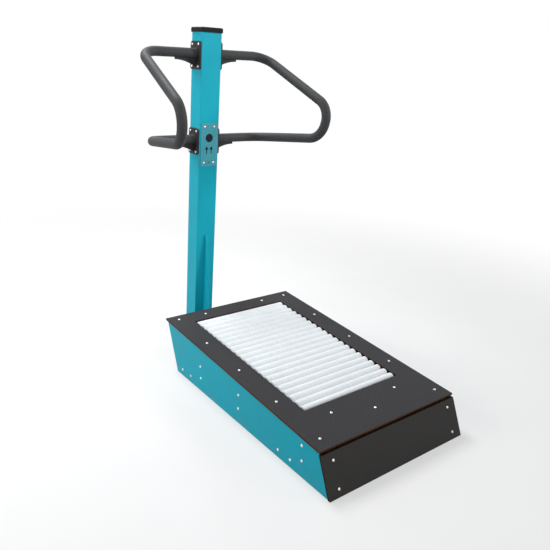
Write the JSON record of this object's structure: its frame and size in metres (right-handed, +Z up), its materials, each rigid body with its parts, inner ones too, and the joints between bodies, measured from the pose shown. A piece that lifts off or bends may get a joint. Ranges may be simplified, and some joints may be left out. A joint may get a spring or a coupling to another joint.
{
  "type": "outdoor cardio roller",
  "caption": "Inclined bed of free-spinning rollers in a low box with slanted ends, with a square post in front that carries two looped tube handlebars.",
  "frame": {"origin": "middle of the machine's footprint, on the ground", "axes": "+Z up, +Y the way the user faces, from the roller box to the post, +X to the user's right, along the rollers"},
  "size_m": [0.906, 1.7086, 1.676],
  "materials": {
    "deck_laminate": "black compact laminate board with a fine anti-slip relief and a rust-brown core at its edges",
    "teal_paint": "teal powder coat on galvanised steel, satin",
    "galvanised": "hot-dip galvanised steel, dull",
    "axle_steel": "bright drawn steel, zinc plated",
    "roller_steel": "pale grey-white powder coat on steel tube, satin",
    "cap_plastic": "black moulded plastic",
    "grey_paint": "dark grey powder coat, satin",
    "stainless": "stainless steel, smooth",
    "sign_plate": "teal-grey laminate plate"
  },
  "bodies": {
    "machine": {"deck_board": "deck_laminate", "rear_panel": "deck_laminate", "front_panel": "deck_laminate", "left_panel": "teal_paint", "right_panel": "teal_paint", "left_side_frame": "galvanised", "right_side_frame": "galvanised", "rear_cross_rail": "galvanised", "front_cross_angle": "galvanised", "ground_cross_tubes": "galvanised", "spine_beam": "galvanised", "left_roller_rail": "galvanised", "right_roller_rail": "galvanised", "roller_axles": "axle_steel", "axle_clips": "axle_steel", "post": "teal_paint", "post_cap": "cap_plastic", "post_web": "teal_paint", "foot_plate": "teal_paint", "left_handlebar": "grey_paint", "right_handlebar": "grey_paint", "left_handle_brackets": "grey_paint", "right_handle_brackets": "grey_paint", "handle_bolts": "stainless", "instruction_plate": "sign_plate", "plate_rivets": "stainless", "deck_screws": "stainless", "left_panel_screws": "stainless", "right_panel_screws": "stainless", "rear_panel_screws": "stainless", "front_panel_screws": "stainless", "roller_rail_screws": "stainless", "link_bolts": "stainless"},
    "roller_01": {"roller_01": "roller_steel"},
    "roller_02": {"roller_02": "roller_steel"},
    "roller_03": {"roller_03": "roller_steel"},
    "roller_04": {"roller_04": "roller_steel"},
    "roller_05": {"roller_05": "roller_steel"},
    "roller_06": {"roller_06": "roller_steel"},
    "roller_07": {"roller_07": "roller_steel"},
    "roller_08": {"roller_08": "roller_steel"},
    "roller_09": {"roller_09": "roller_steel"},
    "roller_10": {"roller_10": "roller_steel"},
    "roller_11": {"roller_11": "roller_steel"},
    "roller_12": {"roller_12": "roller_steel"},
    "roller_13": {"roller_13": "roller_steel"},
    "roller_14": {"roller_14": "roller_steel"},
    "roller_15": {"roller_15": "roller_steel"},
    "roller_16": {"roller_16": "roller_steel"},
    "roller_17": {"roller_17": "roller_steel"},
    "roller_18": {"roller_18": "roller_steel"},
    "roller_19": {"roller_19": "roller_steel"},
    "roller_20": {"roller_20": "roller_steel"},
    "roller_21": {"roller_21": "roller_steel"}
  },
  "joints": [
    {"name": "roller_01_spin", "type": "hinge", "parent": "machine", "child": "roller_01", "pos_m": [0, -0.52983, 0.17442], "axis": [1, 0, 0], "continuous": true},
    {"name": "roller_02_spin", "type": "hinge", "parent": "machine", "child": "roller_02", "pos_m": [0, -0.48891, 0.17699], "axis": [1, 0, 0], "continuous": true},
    {"name": "roller_03_spin", "type": "hinge", "parent": "machine", "child": "roller_03", "pos_m": [0, -0.44799, 0.17957], "axis": [1, 0, 0], "continuous": true},
    {"name": "roller_04_spin", "type": "hinge", "parent": "machine", "child": "roller_04", "pos_m": [0, -0.40707, 0.18214], "axis": [1, 0, 0], "continuous": true},
    {"name": "roller_05_spin", "type": "hinge", "parent": "machine", "child": "roller_05", "pos_m": [0, -0.36616, 0.18471], "axis": [1, 0, 0], "continuous": true},
    {"name": "roller_06_spin", "type": "hinge", "parent": "machine", "child": "roller_06", "pos_m": [0, -0.32524, 0.18729], "axis": [1, 0, 0], "continuous": true},
    {"name": "roller_07_spin", "type": "hinge", "parent": "machine", "child": "roller_07", "pos_m": [0, -0.28432, 0.18986], "axis": [1, 0, 0], "continuous": true},
    {"name": "roller_08_spin", "type": "hinge", "parent": "machine", "child": "roller_08", "pos_m": [0, -0.2434, 0.19244], "axis": [1, 0, 0], "continuous": true},
    {"name": "roller_09_spin", "type": "hinge", "parent": "machine", "child": "roller_09", "pos_m": [0, -0.20248, 0.19501], "axis": [1, 0, 0], "continuous": true},
    {"name": "roller_10_spin", "type": "hinge", "parent": "machine", "child": "roller_10", "pos_m": [0, -0.16156, 0.19759], "axis": [1, 0, 0], "continuous": true},
    {"name": "roller_11_spin", "type": "hinge", "parent": "machine", "child": "roller_11", "pos_m": [0, -0.12064, 0.20016], "axis": [1, 0, 0], "continuous": true},
    {"name": "roller_12_spin", "type": "hinge", "parent": "machine", "child": "roller_12", "pos_m": [0, -0.07972, 0.20274], "axis": [1, 0, 0], "continuous": true},
    {"name": "roller_13_spin", "type": "hinge", "parent": "machine", "child": "roller_13", "pos_m": [0, -0.0388, 0.20531], "axis": [1, 0, 0], "continuous": true},
    {"name": "roller_14_spin", "type": "hinge", "parent": "machine", "child": "roller_14", "pos_m": [0, 0.00212, 0.20788], "axis": [1, 0, 0], "continuous": true},
    {"name": "roller_15_spin", "type": "hinge", "parent": "machine", "child": "roller_15", "pos_m": [0, 0.04304, 0.21046], "axis": [1, 0, 0], "continuous": true},
    {"name": "roller_16_spin", "type": "hinge", "parent": "machine", "child": "roller_16", "pos_m": [0, 0.08396, 0.21303], "axis": [1, 0, 0], "continuous": true},
    {"name": "roller_17_spin", "type": "hinge", "parent": "machine", "child": "roller_17", "pos_m": [0, 0.12487, 0.21561], "axis": [1, 0, 0], "continuous": true},
    {"name": "roller_18_spin", "type": "hinge", "parent": "machine", "child": "roller_18", "pos_m": [0, 0.16579, 0.21818], "axis": [1, 0, 0], "continuous": true},
    {"name": "roller_19_spin", "type": "hinge", "parent": "machine", "child": "roller_19", "pos_m": [0, 0.20671, 0.22076], "axis": [1, 0, 0], "continuous": true},
    {"name": "roller_20_spin", "type": "hinge", "parent": "machine", "child": "roller_20", "pos_m": [0, 0.24763, 0.22333], "axis": [1, 0, 0], "continuous": true},
    {"name": "roller_21_spin", "type": "hinge", "parent": "machine", "child": "roller_21", "pos_m": [0, 0.28855, 0.22591], "axis": [1, 0, 0], "continuous": true}
  ]
}
